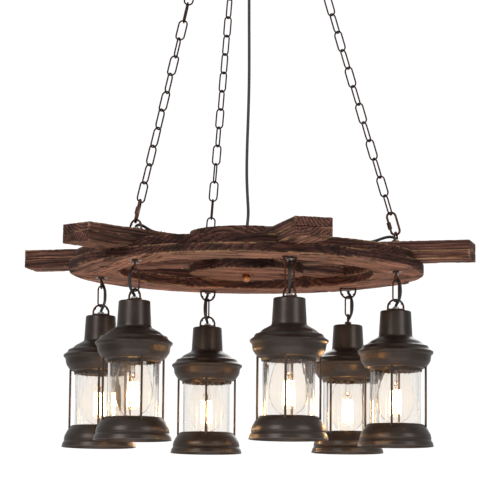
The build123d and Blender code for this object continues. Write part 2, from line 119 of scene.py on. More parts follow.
def math_node(tree, operation, first, second=None, clamp=False):
    node = add_node(tree, "Math", operation=operation, use_clamp=clamp)
    for socket, value in zip(node.inputs, (first, second)):
        if value is None:
            continue
        if isinstance(value, (int, float)):
            socket.default_value = value
        else:
            tree.links.new(value, socket)
    return node.outputs[0]


def noise_node(tree, vector, scale, detail=4.0, roughness=0.55, distortion=0.0):
    node = add_node(tree, "TexNoise")
    tree.links.new(vector, node.inputs["Vector"])
    node.inputs["Scale"].default_value = scale
    node.inputs["Detail"].default_value = detail
    node.inputs["Roughness"].default_value = roughness
    node.inputs["Distortion"].default_value = distortion
    return node.outputs["Fac"]


def stretched(tree, vector, scale):
    node = add_node(tree, "Mapping")
    node.inputs["Scale"].default_value = scale
    tree.links.new(vector, node.inputs["Vector"])
    return node.outputs["Vector"]


def ramp_node(tree, factor, stops):
    """A colour ramp; each stop is (position, colour) with a grey number or three of red, green, blue."""
    node = add_node(tree, "ValToRGB")
    tree.links.new(factor, node.inputs["Fac"])
    elements = node.color_ramp.elements
    while len(elements) < len(stops):
        elements.new(0.5)
    for element, (position, colour) in zip(elements, stops):
        element.position = position
        rgb = (colour,) * 3 if isinstance(colour, (int, float)) else colour
        element.color = (*rgb, 1.0)
    return node.outputs["Color"]


def mix_colours(tree, factor, first, second, blend="MIX"):
    node = add_node(tree, "Mix", data_type="RGBA", blend_type=blend)
    sockets = [s for s in node.inputs if s.enabled]
    for socket, value in zip(sockets, (factor, first, second)):
        if isinstance(value, (int, float)):
            socket.default_value = value
        elif isinstance(value, tuple):
            socket.default_value = (*value, 1.0)
        else:
            tree.links.new(value, socket)
    return [s for s in node.outputs if s.enabled][0]


def bump_node(tree, height, strength, distance, normal=None):
    node = add_node(tree, "Bump")
    node.inputs["Strength"].default_value = strength
    node.inputs["Distance"].default_value = distance
    tree.links.new(height, node.inputs["Height"])
    if normal is not None:
        tree.links.new(normal, node.inputs["Normal"])
    return node.outputs["Normal"]


def object_coordinates(tree):
    return add_node(tree, "TexCoord").outputs["Object"]


# ---------------------------------------------------------------- materials
def wood_material(name, ring_spacing=5.2):
    """Scorched and brushed softwood; its grain runs along X of each board's own coordinates."""
    material, tree, shader = new_material(name)
    grain = add_node(tree, "Attribute", attribute_name="grain").outputs["Vector"]
    marks = add_node(tree, "Attribute", attribute_name="marks").outputs["Vector"]
    split = add_node(tree, "SeparateXYZ")
    tree.links.new(marks, split.inputs[0])
    # the third mark lightens undersides: partly less scorched wood, partly painted light from below
    wear, torn, pale_wood_and_painted_lift = split.outputs

    # growth rings about the pith, which wander a little along the board
    across = stretched(tree, grain, (0.0, 1.0, 1.0))
    length = add_node(tree, "VectorMath", operation="LENGTH")
    tree.links.new(across, length.inputs[0])
    wander = noise_node(tree, stretched(tree, grain, (5.0, 22.0, 22.0)), 1.0, 3.0)
    ring_count = math_node(tree, "MULTIPLY", length.outputs["Value"], 1000.0 / ring_spacing)
    ring_count = math_node(tree, "ADD", ring_count, math_node(tree, "MULTIPLY", wander, 2.2))
    late = math_node(tree, "FRACT", ring_count)
    ridge = ramp_node(tree, late, ((0.0, 0.05), (0.35, 0.15), (0.72, 0.8), (0.86, 1.0), (1.0, 0.05)))

    # fibres, scorching in long patches and dark flecks
    fibre = noise_node(tree, stretched(tree, grain, (16.0, 430.0, 430.0)), 1.0, 5.0, 0.68)
    scorch = noise_node(tree, stretched(tree, grain, (7.0, 38.0, 38.0)), 1.0, 5.0, 0.6, 0.3)
    fleck = noise_node(tree, stretched(tree, grain, (40.0, 260.0, 260.0)), 1.0, 3.0, 0.6)

    scorch_mask = ramp_node(tree, scorch, ((0.34, 0.0), (0.62, 1.0)))
    brown = mix_colours(tree, scorch_mask, (0.022, 0.0096, 0.0076), (0.098, 0.037, 0.028))
    # pale wood colour for the undersides: partly less scorched wood, partly painted light from below
    light = mix_colours(tree, scorch_mask, (0.165, 0.076, 0.052), (0.42, 0.205, 0.14))
    ground = mix_colours(tree, pale_wood_and_painted_lift, brown, light)
    lines = math_node(tree, "MULTIPLY", ridge, 0.84)
    colour = mix_colours(tree, lines, ground, (0.013, 0.0075, 0.0064))
    fibre_mask = ramp_node(tree, fibre, ((0.38, 0.38), (0.64, 1.6)))
    colour = mix_colours(tree, 1.0, colour, fibre_mask, "MULTIPLY")
    fleck_mask = ramp_node(tree, fleck, ((0.64, 0.0), (0.72, 1.0)))
    fleck_share = math_node(tree, "MULTIPLY", fleck_mask, 0.6)
    colour = mix_colours(tree, fleck_share, colour, (0.012, 0.007, 0.006))

    # bare tan wood where the edges are rubbed, and near-black in the torn places
    rub = ramp_node(tree, fibre, ((0.35, 0.35), (0.62, 1.0)))
    rubbed = math_node(tree, "MULTIPLY", wear, rub, clamp=True)
    colour = mix_colours(tree, rubbed, colour, (0.56, 0.315, 0.165))
    torn_share = math_node(tree, "MULTIPLY", torn, 0.86)
    colour = mix_colours(tree, torn_share, colour, (0.017, 0.0095, 0.0080))
    tree.links.new(colour, shader.inputs["Base Color"])

    rough = ramp_node(tree, fibre, ((0.3, 0.62), (0.7, 0.86)))
    tree.links.new(rough, shader.inputs["Roughness"])
    shader.inputs["Specular IOR Level"].default_value = 0.10
    ridge_relief = math_node(tree, "MULTIPLY", ridge, 0.7)
    fibre_relief = math_node(tree, "MULTIPLY", fibre, 0.55)
    relief = math_node(tree, "ADD", ridge_relief, fibre_relief)
    relief = math_node(tree, "SUBTRACT", relief, math_node(tree, "MULTIPLY", torn, 0.5))
    tree.links.new(bump_node(tree, relief, 0.9, 0.0014), shader.inputs["Normal"])
    return material


def painted_metal(name, dark, bright, metallic, roughness, grain_size=1400.0):
    """Satin paint or plating whose colour clouds a little, with a fine even tooth."""
    material, tree, shader = new_material(name)
    spot = object_coordinates(tree)
    cloud = noise_node(tree, spot, 38.0, 4.0)
    tooth = noise_node(tree, spot, grain_size, 2.0)
    colour = ramp_node(tree, cloud, ((0.3, dark), (0.7, bright)))
    tree.links.new(colour, shader.inputs["Base Color"])
    rough = ramp_node(tree, cloud, ((0.25, roughness - 0.05), (0.75, roughness + 0.06)))
    tree.links.new(rough, shader.inputs["Roughness"])
    shader.inputs["Metallic"].default_value = metallic
    tree.links.new(bump_node(tree, tooth, 0.14, 0.0003), shader.inputs["Normal"])
    return material


def aged_copper(name, dark, bright, roughness, patch=150.0):
    """Reddish copper plating with dark oxide in patches and a few rubbed bright places."""
    material, tree, shader = new_material(name)
    spot = object_coordinates(tree)
    oxide = noise_node(tree, spot, patch, 5.0, 0.62)
    fine = noise_node(tree, spot, 900.0, 3.0)
    middle = tuple((a + b) / 2 for a, b in zip(dark, bright))
    colour = ramp_node(tree, oxide, ((0.32, dark), (0.5, middle), (0.72, bright)))
    tree.links.new(colour, shader.inputs["Base Color"])
    rough = ramp_node(tree, oxide, ((0.3, roughness + 0.14), (0.7, roughness - 0.04)))
    tree.links.new(rough, shader.inputs["Roughness"])
    shader.inputs["Metallic"].default_value = 0.85
    tree.links.new(bump_node(tree, fine, 0.14, 0.0002), shader.inputs["Normal"])
    return material


def flex_material(name, colour, roughness):
    """Soft PVC or rubber with a faint moulded grain."""
    material, tree, shader = new_material(name)
    spot = object_coordinates(tree)
    grain = noise_node(tree, spot, 700.0, 3.0)
    cloud = noise_node(tree, spot, 60.0, 3.0)
    bright = tuple(1.6 * c for c in colour)
    tree.links.new(ramp_node(tree, cloud, ((0.3, colour), (0.75, bright))), shader.inputs["Base Color"])
    rough = ramp_node(tree, grain, ((0.3, roughness - 0.06), (0.7, roughness + 0.08)))
    tree.links.new(rough, shader.inputs["Roughness"])
    shader.inputs["Coat Weight"].default_value = 0.06
    shader.inputs["Coat Roughness"].default_value = 0.3
    tree.links.new(bump_node(tree, grain, 0.06, 0.0001), shader.inputs["Normal"])
    return material


def glass_material(name, tint, roughness, wave, ior=1.45):
    """Clear glass with faint drawn waves; lamps shine through it."""
    material, tree, shader = new_material(name)
    spot = object_coordinates(tree)
    waves = noise_node(tree, stretched(tree, spot, (60.0, 60.0, 4.0)), 1.0, 2.0)
    shader.inputs["Base Color"].default_value = (*tint, 1.0)
    shader.inputs["Transmission Weight"].default_value = 1.0
    shader.inputs["IOR"].default_value = ior
    smear = ramp_node(tree, waves, ((0.35, roughness), (0.75, roughness + 0.03)))
    tree.links.new(smear, shader.inputs["Roughness"])
    tree.links.new(bump_node(tree, waves, wave, 0.001), shader.inputs["Normal"])
    open_to_lamps(tree, shader)
    return material


def open_to_lamps(tree, shader):
    """Lets light rays pass straight through a glass."""
    path = add_node(tree, "LightPath")
    clear = add_node(tree, "BsdfTransparent")
    mix = add_node(tree, "MixShader")
    tree.links.new(path.outputs["Is Shadow Ray"], mix.inputs["Fac"])
    tree.links.new(shader.outputs["BSDF"], mix.inputs[1])
    tree.links.new(clear.outputs["BSDF"], mix.inputs[2])
    tree.links.new(mix.outputs["Shader"], tree.nodes["Material Output"].inputs["Surface"])


def bulb_glass_material(name, hot_height):
    """Thin bulb glass with a painted warm tint and a faint painted glow at its middle, about the filament.
    """
    material, tree, shader = new_material(name)
    spot = object_coordinates(tree)
    split = add_node(tree, "SeparateXYZ")
    tree.links.new(spot, split.inputs[0])
    above = math_node(tree, "ABSOLUTE", math_node(tree, "SUBTRACT", split.outputs["Z"], hot_height))
    near = math_node(tree, "MULTIPLY", above, 1 / 0.062)
    # painted light: tint and emission grow towards the filament's height, though the glass gives no light
    # of its own
    painted_warm_tint_stops = ((0.0, (1.0, 0.995, 0.98)), (0.6, (1.0, 0.99, 0.975)), (1.0, (0.99, 0.985, 0.975)))
    painted_glow_stops = ((0.0, (1.0, 0.62, 0.26)), (0.65, (0.45, 0.22, 0.07)), (1.0, (0.05, 0.02, 0.01)))
    painted_warm_tint = ramp_node(tree, near, painted_warm_tint_stops)
    painted_glow = ramp_node(tree, near, painted_glow_stops)
    tree.links.new(painted_warm_tint, shader.inputs["Base Color"])
    tree.links.new(painted_glow, shader.inputs["Emission Color"])
    # faint painted glow of the glass itself
    shader.inputs["Emission Strength"].default_value = 0.03
    shader.inputs["Transmission Weight"].default_value = 1.0
    shader.inputs["Roughness"].default_value = 0.03
    shader.inputs["IOR"].default_value = 1.06
    open_to_lamps(tree, shader)
    return material


def glow_material(name, colour, strength, flicker):
    """Hot filament, uneven along its length."""
    material, tree, shader = new_material(name)
    uneven = noise_node(tree, object_coordinates(tree), flicker, 2.0)
    cooler = (colour[0], 0.72 * colour[1], 0.55 * colour[2])
    heat = ramp_node(tree, uneven, ((0.3, cooler), (0.65, colour)))
    tree.links.new(heat, shader.inputs["Emission Color"])
    shader.inputs["Emission Strength"].default_value = strength
    shader.inputs["Base Color"].default_value = (1.0, 0.75, 0.4, 1.0)
    return material


WOOD = wood_material("scorched_wood")
BRONZE = painted_metal("bronze_paint", (0.024, 0.0165, 0.0125), (0.041, 0.0285, 0.0215), 0.5, 0.33)
CHAIN = aged_copper("chain_bronze", (0.017, 0.0085, 0.0065), (0.066, 0.030, 0.021), 0.46)
COPPER = aged_copper("copper_bronze", (0.026, 0.012, 0.0085), (0.13, 0.053, 0.033), 0.40)
BALL = aged_copper("ball_copper", (0.20, 0.075, 0.03), (0.46, 0.19, 0.075), 0.22, 60.0)
NICKEL = painted_metal("nickel", (0.27, 0.255, 0.24), (0.42, 0.40, 0.375), 1.0, 0.28)
ZINC = painted_metal("zinc", (0.42, 0.43, 0.44), (0.58, 0.59, 0.60), 0.9, 0.38, 500.0)
DARK_SCREW = painted_metal("dark_screw", (0.05, 0.045, 0.04), (0.12, 0.11, 0.10), 0.9, 0.36, 500.0)
RUBBER = flex_material("black_rubber", (0.018, 0.017, 0.016), 0.62)
FLEX = flex_material("black_cord", (0.0072, 0.0072, 0.0072), 0.46)
BAKELITE = flex_material("bakelite", (0.020, 0.016, 0.014), 0.30)
CLEAR_PLASTIC = glass_material("clear_plastic", (0.92, 0.93, 0.93), 0.22, 0.1, 1.45)
GLASS = glass_material("clear_glass", (0.925, 0.905, 0.88), 0.0, 0.3)
STEM_GLASS = glass_material("stem_glass", (0.96, 0.95, 0.93), 0.02, 0.1)
BULB_GLASS = bulb_glass_material("bulb_glass", CAP_TOP - 0.156)
FILAMENT = glow_material("filament", (1.0, 0.72, 0.38), 40.0, 90.0)
BRASS = painted_metal("bulb_brass", (0.55, 0.36, 0.13), (0.72, 0.50, 0.22), 1.0, 0.28)

# ---------------------------------------------------------------- camera
camera_data = bpy.data.cameras.new("camera")
camera_data.sensor_width = 36.0
camera_data.lens = 174.2
camera = bpy.data.objects.new("camera", camera_data)
bpy.context.scene.collection.objects.link(camera)
CAMERA_PLACE = (0.0059, -4.2085, WHEEL - 0.5051)
UPWARD_TILT = 7.420
ROLL = 0.56
camera.matrix_world = (
    Matrix.Translation(CAMERA_PLACE)
    @ Matrix.Rotation(radians(90 + UPWARD_TILT), 4, "X")
    @ Matrix.Rotation(radians(ROLL), 4, "Z")
)
bpy.context.scene.camera = camera


# ---------------------------------------------------------------- cords
def nurbs_curve(name, paths, thickness=0.0):
    """A curve object through given points in metres, one smooth spline for each path."""
    data = bpy.data.curves.new(name, "CURVE")
    data.dimensions = "3D"
    data.bevel_depth = thickness / 2
    data.bevel_resolution = 1
    data.resolution_u = 8
    for path in paths:
        spline = data.splines.new("NURBS")
        spline.points.add(len(path) - 1)
        for knot, place in zip(spline.points, path):
            knot.co = (*place, 1.0)
        spline.order_u = 3
        spline.use_endpoint_u = True
    obj = bpy.data.objects.new(name, data)
    bpy.context.scene.collection.objects.link(obj)
    return obj


def taken_mesh(curve):
    """The mesh of a curve object, which is then removed."""
    bpy.context.view_layer.update()
    mesh = bpy.data.meshes.new_from_object(curve.evaluated_get(bpy.context.evaluated_depsgraph_get()))
    bpy.data.objects.remove(curve)
    return mesh


def smooth_line(points):
    """The points of the smooth line which the given points steer."""
    mesh = taken_mesh(nurbs_curve("route", [points]))
    line = [v.co.copy() for v in mesh.vertices]
    bpy.data.meshes.remove(mesh)
    return line


def add_main_cord():
    grommet_top = WHEEL + (COVER_TOP + 5.0) * MM
    bends = (
        (0.0, 0.0), (1.2, 14.0), (2.6, 32.0), (0.4, 62.0), (-1.4, 100.0), (-0.9, 152.0), (0.6, 206.0),
        (1.5, 262.0), (1.1, 320.0), (0.3, 378.0), (-0.2, 436.0), (-0.3, 494.0), (-0.1, 552.0),
        (0.2, 606.0), (0.1, 660.0),
    )
    points = [Vector((x * MM, 0.3 * x * MM, grommet_top + rise * MM)) for x, rise in bends]
    points.append(Vector((0.0, 0.0, MAIN_TOP)))
    line = smooth_line(points)
    flex = tube_mesh("main_flex", line, MAIN_LEAD / 2 * MM)
    flex.data.materials.append(FLEX)
    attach(flex, "frame")
    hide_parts("main_cord")


def add_spoke_leads():
    bed = LEAD / 2 + 0.1
    route = (
        (266.0, 2.5), (266.0, 8.0), (262.2, 11.0), (256.0, 12.0), (248.0, 11.2), (239.0, 8.2),
        (228.0, 4.6), (214.0, bed + 0.1), (194.0, bed), (165.0, bed + 0.2),
        (132.0, bed), (100.0, bed + 0.1), (75.0, bed + 0.4), (54.0, bed + 1.0),
    )
    side_steps = (0, 0, 0, 0.2, 0.6, 1.0, 0.9, 0.2, 0, -1.2, 0, 0.3, 0.1, 0)
    for number, azimuth in zip(NUMBERS, AZIMUTHS):
        wander = -1.5 if number % 2 else 1.5
        points = []
        for (radius, height), step in zip(route, side_steps):
            spot = around(radius, azimuth, SPOKE_TOP + height) + around(wander * step, azimuth + 90)
            points.append(spot + Vector((0, 0, WHEEL)))
        line = smooth_line(points)
        flex = tube_mesh(f"spoke_flex_{number}", line, LEAD / 2 * MM)
        flex.data.materials.append(FLEX)
        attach(flex, "frame")
        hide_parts("spoke_leads")


def tube_mesh(name, line, radius, sides=16):
    """A round tube that follows a line of points, with its ends closed."""
    bm = bmesh.new()
    rings = []
    aside = Vector((1, 0, 0))
    for i, spot in enumerate(line):
        ahead = (line[min(i + 1, len(line) - 1)] - line[max(i - 1, 0)]).normalized()
        aside = (aside - ahead * aside.dot(ahead)).normalized()
        other = ahead.cross(aside)
        turns = [2 * pi * k / sides for k in range(sides)]
        rings.append([bm.verts.new(spot + radius * (aside * cos(t) + other * sin(t))) for t in turns])
    for before, after in zip(rings, rings[1:]):
        for k in range(sides):
            bm.faces.new((before[k], before[(k + 1) % sides], after[(k + 1) % sides], after[k]))
    bm.faces.new(reversed(rings[0]))
    bm.faces.new(rings[-1])
    return mesh_object(name, bm)


def mesh_object(name, bm, sharp=35.0):
    """An object from a bmesh, smooth but for its sharp edges."""
    bmesh.ops.recalc_face_normals(bm, faces=bm.faces)
    mesh = bpy.data.meshes.new(name)
    bm.to_mesh(mesh)
    bm.free()
    mesh.shade_smooth()
    mesh.set_sharp_from_angle(angle=radians(sharp))
    obj = bpy.data.objects.new(name, mesh)
    bpy.context.scene.collection.objects.link(obj)
    return obj


BLEND_START = 9.2


def add_drop_leads():
    """Each lead bows beside its link, made as two halves: one from wheel to link, one from link to lantern.
    """
    bow = ((0.0, 4.0), (0.0, 9.2), (3.4, 13.0), (6.6, 17.4), (9.2, 23.2), (10.6, 30.0))
    bow_directions = (-135.0, -90.0, -45.0, -45.0, -115.0, -45.0)
    bow_sizes = (1.15, 1.0, 1.05, 1.0, 1.14, 1.0)
    for number, hook, direction, size in zip(NUMBERS, HOOKS, bow_directions, bow_sizes):
        down = [(size * aside, depth) for aside, depth in bow]
        back = [(aside, DROP / MM - depth) for aside, depth in reversed(down)]
        top = Vector((hook.x, hook.y, WHEEL))
        points = [top + around(aside, direction, -depth) for aside, depth in down + back]
        line = smooth_line(points)
        middle = min(range(len(line)), key=lambda i: abs(line[i].z - (WHEEL - DROP / 2)))
        link, lantern = f"link_{number}", f"lantern_{number}"
        mid_drop = DROP / MM / 2
        halves = (
            ("upper", line[: middle + 1], "frame", link, BLEND_START, mid_drop),
            ("lower", line[middle:], link, lantern, mid_drop, DROP / MM - BLEND_START),
        )
        for half, part_line, above, below, start, end in halves:
            flex = tube_mesh(f"drop_flex_{number}_{half}", part_line, LEAD / 2 * MM)
            flex.data.materials.append(FLEX)
            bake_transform(flex)
            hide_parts("drop_leads")


add_main_cord()
add_spoke_leads()
add_drop_leads()


# ---------------------------------------------------------------- weathered wood
def grid_mesh(points, closed_along=False):
    """A skin over rows of closed loops; ends are filled unless the rows close on themselves."""
    rows, columns = points.shape[:2]
    bm = bmesh.new()
    verts = [bm.verts.new(p) for p in points.reshape(-1, 3)]
    last = rows if closed_along else rows - 1
    for i in range(last):
        here, there = i * columns, ((i + 1) % rows) * columns
        for k in range(columns):
            after = (k + 1) % columns
            bm.faces.new((verts[here + k], verts[here + after], verts[there + after], verts[there + k]))
    if not closed_along:
        bm.faces.new(verts[:columns])
        bm.faces.new(verts[-columns:])
    bmesh.ops.recalc_face_normals(bm, faces=bm.faces)
    return bm


def smooth_step(low, high, value):
    share = min(max((value - low) / (high - low), 0.0), 1.0)
    return share * share * (3 - 2 * share)


def weather(name, bm, edge, grain_turn, pith, underside_pale_wood_and_lift, chips, side=0.0):
    """Wears a wooden piece: rubbed edges, torn chips along the lower ones, and marks for its material.

    edge is each vertex's distance in mm from the nearest sharp edge, grain_turn the direction of the
    grain, pith where the tree's middle lies beside the board, underside_pale_wood_and_lift how much
    lighter its underside is, partly as less scorched wood and partly as painted light from below, and
    side how much lighter the rest is.
    """
    mesh = bpy.data.meshes.new(name)
    bm.normal_update()
    bm.to_mesh(mesh)
    bm.free()
    count = len(mesh.vertices)
    spots = np.empty(count * 3)
    mesh.vertices.foreach_get("co", spots)
    spots = spots.reshape(-1, 3)
    normals = np.array([v.normal for v in mesh.vertices])
    turn = radians(grain_turn)
    turned = np.stack(
        (
            spots[:, 0] * cos(turn) + spots[:, 1] * sin(turn),
            spots[:, 1] * cos(turn) - spots[:, 0] * sin(turn),
            spots[:, 2],
        ),
        axis=1,
    )
    middle = turned.mean(axis=0)
    shift = random.uniform(-9, 9)
    grain = turned - middle + np.array((shift, pith[0] * MM, pith[1] * MM))
    marks = np.zeros((count, 3))
    for i in range(count):
        u, v, w = grain[i]
        down = max(-normals[i][2], 0.0)
        patch = noise.noise(Vector((u * 24, v * 85, w * 85)))
        rough = noise.noise(Vector((u * 120 + 7, v * 330, w * 330)))
        slow = noise.noise(Vector((u * 9 + 31, v * 30, w * 30)))
        reach = exp(-edge[i] / 9.0)
        torn = smooth_step(0.24, 0.30, patch + 0.32 * reach * (0.3 + down) - 0.16 + 0.12 * rough) * chips
        torn *= 0.25 + 0.75 * down
        rim = exp(-edge[i] / 2.0)
        sink = 1.9 * torn * (0.6 + 0.6 * abs(rough))
        sink += rim * (0.16 + 0.6 * max(rough + 0.2, 0)) + 0.12 * rough
        spots[i] -= normals[i] * sink * MM
        rub = exp(-edge[i] / 1.2) * smooth_step(-0.02, 0.34, slow + 0.5 * rough)
        # third mark is paler where the face looks down, partly less scorched wood and partly painted light
        # from below; side is an even paler tone all over
        marks[i] = (min(rub, 1.0), torn, max(down * underside_pale_wood_and_lift, side))
    mesh.vertices.foreach_set("co", spots.ravel())
    for label, values in (("grain", grain), ("marks", marks)):
        layer = mesh.attributes.new(label, "FLOAT_VECTOR", "POINT")
        layer.data.foreach_set("vector", values.ravel())
    mesh.shade_smooth()
    mesh.set_sharp_from_angle(angle=radians(40))
    obj = bpy.data.objects.new(name, mesh)
    bpy.context.scene.collection.objects.link(obj)
    mesh.materials.append(WOOD)
    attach(obj, "frame")
    return obj


def board_loops(length, width, height, step):
    """Loops of a board as (along, across, up) in mm about its middle line, ends included."""
    corner = 0.7
    cuts = [height / 2 - 0.6, height / 2 - 3.0, 4.2, 2.2, 1.0]
    cuts = [cut for cut in cuts if cut > 0]
    ends = [(0.0, cut) for cut in sorted(cuts, reverse=True)] + [(0.12, 0.3), (0.4, 0.08)]
    count = max(2, round((length - 2 * corner) / step))
    body = [(corner + (length - 2 * corner) * i / count, 0.0) for i in range(count + 1)]
    stations = ends + body + [(length - along, cut) for along, cut in reversed(ends)]
    wide = max(4, round(width / 3.2))
    high = max(3, round(height / 2.7))
    loops = []
    for along, cut in stations:
        half_width, half_height = width / 2 - cut, height / 2 - cut
        arc = min(corner, 0.8 * half_height)
        loop = []
        for side in range(4):
            a, b = (half_width, half_height) if side % 2 == 0 else (half_height, half_width)
            number = wide if side % 2 == 0 else high
            # one side, from its first corner to its last, then half of the next corner's arc
            points = [(-a + arc + 2 * (a - arc) * k / number, -b) for k in range(number + 1)]
            bend = radians(45)
            points.append((a - arc + arc * sin(bend), -b + arc - arc * cos(bend)))
            quarter = side * pi / 2
            right, up = cos(quarter), sin(quarter)
            loop += [(x * right - y * up, x * up + y * right) for x, y in points]
        loops.append([(along, x, y) for x, y in loop])
    return np.array(loops)


def edge_distance(loops, length, width, height, ends=True):
    """How far in mm each point of a board's skin lies from the board's nearest edge."""
    along = np.minimum(loops[..., 0], length - loops[..., 0])
    across = width / 2 - np.abs(loops[..., 1])
    up = height / 2 - np.abs(loops[..., 2])
    if not ends:
        return np.maximum(across, up).ravel()
    return np.sort(np.stack((along, across, up), axis=-1), axis=-1)[..., 1].ravel()


def add_spokes():
    length = SPOKE_TIP - SPOKE_INNER
    loops = board_loops(length, SPOKE_WIDTH, BOARD, 3.4)
    edge = edge_distance(loops, length, SPOKE_WIDTH, BOARD)
    for number, azimuth in zip(NUMBERS, AZIMUTHS):
        turn = radians(azimuth)
        ahead = np.array((cos(turn), sin(turn), 0.0))
        aside = np.array((-sin(turn), cos(turn), 0.0))
        for layer, name in ((0, "lower"), (1, "upper")):
            middle = BOARD * (1.5 + layer)
            spots = (
                (SPOKE_INNER + loops[..., :1]) * ahead + loops[..., 1:2] * aside
                + (loops[..., 2:] + middle) * np.array((0, 0, 1.0))
            ) * MM
            spots[..., 2] += WHEEL
            pith = (random.choice((-1, 1)) * random.uniform(12, 55), random.uniform(-60, -25))
            board = weather(f"spoke_{number}_{name}", grid_mesh(spots), edge,
                            azimuth + random.uniform(-1.5, 1.5), pith, 0.6, 0.8, 0.2)
            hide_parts("spokes")


def ring_board(name, start, stop, clearance, inner, outer, foot, grain_turn, underside_pale_wood_and_lift, chips):
    """A curved board of a ring from one direction to another, its ends clear of the spokes by an offset."""
    middle_radius = (inner + outer) / 2
    width = outer - inner
    length = radians(stop - start) * middle_radius - 2 * clearance
    loops = board_loops(length, width, BOARD, 3.2)
    edge = edge_distance(loops, length, width, BOARD, ends=False)
    radius = middle_radius + loops[..., 1]
    margin = np.arcsin(clearance / radius)
    first, last = radians(start) + margin, radians(stop) - margin
    angle = first + (last - first) * loops[..., 0] / length
    height = loops[..., 2] + foot + BOARD / 2
    spots = np.stack((radius * np.cos(angle), radius * np.sin(angle), height), axis=-1) * MM
    spots[..., 2] += WHEEL
    pith = (random.choice((-1, 1)) * random.uniform(20, 90), random.uniform(-70, -20))
    return weather(name, grid_mesh(spots), edge, grain_turn, pith, underside_pale_wood_and_lift, chips)


def add_rings():
    joint = 0.05
    for number, azimuth in zip(NUMBERS, AZIMUTHS):
        start = azimuth + 14.0
        grain_turn = start + 30 + 90 + random.uniform(-16, 16)
        board = ring_board(f"lower_ring_{number}", start, start + 60, joint, RING_INNER, RING_OUTER,
                           0.0, grain_turn, 1.0, 1.0)
        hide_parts("ring_lower")
    for number, azimuth in zip(NUMBERS, AZIMUTHS):
        grain_turn = azimuth + 30 + 90 + random.uniform(-28, 28)
        board = ring_board(f"upper_ring_{number}", azimuth, azimuth + 60, SPOKE_WIDTH / 2 + 0.2,
                           RING_INNER, UPPER_OUTER, BOARD, grain_turn, 0.6, 0.5)
        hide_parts("ring_upper")


def turned_wood(name, outline, steps, grain_turn, underside_pale_wood_and_lift, chips, side=0.0, notch=None):
    """A turned wooden disc from its (radius, height) outline in mm, cut up into short runs."""
    corners = [np.array(p) for p in outline]
    loop, edge_row = [], []
    for here, there in zip(corners, corners[1:] + corners[:1]):
        run = np.linalg.norm(there - here)
        count = max(3, round(run / 3.2))
        # even steps, with one more point close to each corner
        for k in range(count):
            share = k / count
            spot = here + (there - here) * share
            loop.append(spot)
            edge_row.append(min(share, 1 - share) * run)
        soft = 0.7
        loop.insert(len(loop) - count + 1, here + (there - here) / run * soft)
        edge_row.insert(len(edge_row) - count + 1, soft)
        loop.append(there - (there - here) / run * soft)
        edge_row.append(soft)
    rows = []
    for k in range(steps):
        angle = 2 * pi * k / steps
        row = [(r * cos(angle), r * sin(angle), z) for r, z in loop]
        rows.append(row)
    spots = np.array(rows) * MM
    spots[..., 2] += WHEEL
    if notch is not None:
        notch(spots)
    edge = np.tile(np.array(edge_row), steps)
    pith = (random.uniform(25, 60), random.uniform(-60, -30))
    return weather(name, grid_mesh(spots, closed_along=True), edge, grain_turn, pith, underside_pale_wood_and_lift, chips, side)


def lead_notches(spots):
    """Lifts the hub cover's foot where the leads run in under it."""
    foot, roof = WHEEL + SPOKE_TOP * MM, WHEEL + (SPOKE_TOP + LEAD + 2) * MM
    for azimuth in AZIMUTHS:
        ahead = np.array((cos(radians(azimuth)), sin(radians(azimuth))))
        flat = spots[..., :2]
        along = flat @ ahead
        aside = np.abs(flat @ np.array((-ahead[1], ahead[0])))
        inside = (along > (COVER_POCKET - 4) * MM) & (aside < (LEAD / 2 + 1.5) * MM)
        inside &= (spots[..., 2] < roof) & (spots[..., 2] >= foot - MM)
        spots[..., 2] = np.where(inside, roof, spots[..., 2])


def add_hub():
    bolt_hole = 3.2
    disc = turned_wood(
        "hub_plate", ((bolt_hole, 0.0), (HUB_RADIUS, 0.0), (HUB_RADIUS, BOARD), (bolt_hole, BOARD)),
        400, 12.0, 0.5, 1.25,
    )
    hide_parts("hub_disc")
    roof = COVER_TOP - COVER_ROOF
    grommet_hole = 5.5
    outline = (
        (COVER_POCKET, SPOKE_TOP), (HUB_RADIUS, SPOKE_TOP), (HUB_RADIUS, COVER_TOP),
        (grommet_hole, COVER_TOP), (grommet_hole, roof), (COVER_POCKET, roof),
    )
    cover = turned_wood("hub_lid", outline, 420, -24.0, 0.4, 0.5, 0.28, lead_notches)
    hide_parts("hub_cover")


add_spokes()
add_rings()
add_hub()


# ---------------------------------------------------------------- lanterns
def rounded(points, radii, step=9.0):
    """An outline whose inner corners are arcs of the given radii, with a point every few degrees."""
    points = [Vector(p) for p in points]
    line = [points[0]]
    for before, corner, after, radius in zip(points, points[1:], points[2:], radii):
        to_before, to_after = (before - corner).normalized(), (after - corner).normalized()
        half = to_before.angle(to_after) / 2
        centre = corner + (to_before + to_after).normalized() * radius / sin(half)
        start = corner + to_before * radius / tan(half) - centre
        end = corner + to_after * radius / tan(half) - centre
        turn = pi - 2 * half
        count = max(2, round(degrees(turn) / step))
        for k in range(count + 1):
            share = k / count
            spot = start * sin((1 - share) * turn) + end * sin(share * turn)
            line.append(centre + spot / sin(turn))
    line.append(points[-1])
    return line


def walled(line, wall):
    """An outline with an even wall on its left-hand side, or on its right where wall is negative."""
    inner = []
    for i, spot in enumerate(line):
        ahead = (line[min(i + 1, len(line) - 1)] - line[max(i - 1, 0)]).normalized()
        inner.append(spot + Vector((-ahead.y, ahead.x)) * wall)
    return list(line) + inner[::-1]


def split_runs(line, longest):
    """The same outline with its long straight runs cut up."""
    result = [line[0]]
    for before, after in zip(line, line[1:]):
        count = max(1, round((after - before).length / longest))
        result += [before + (after - before) * k / count for k in range(1, count + 1)]
    return result


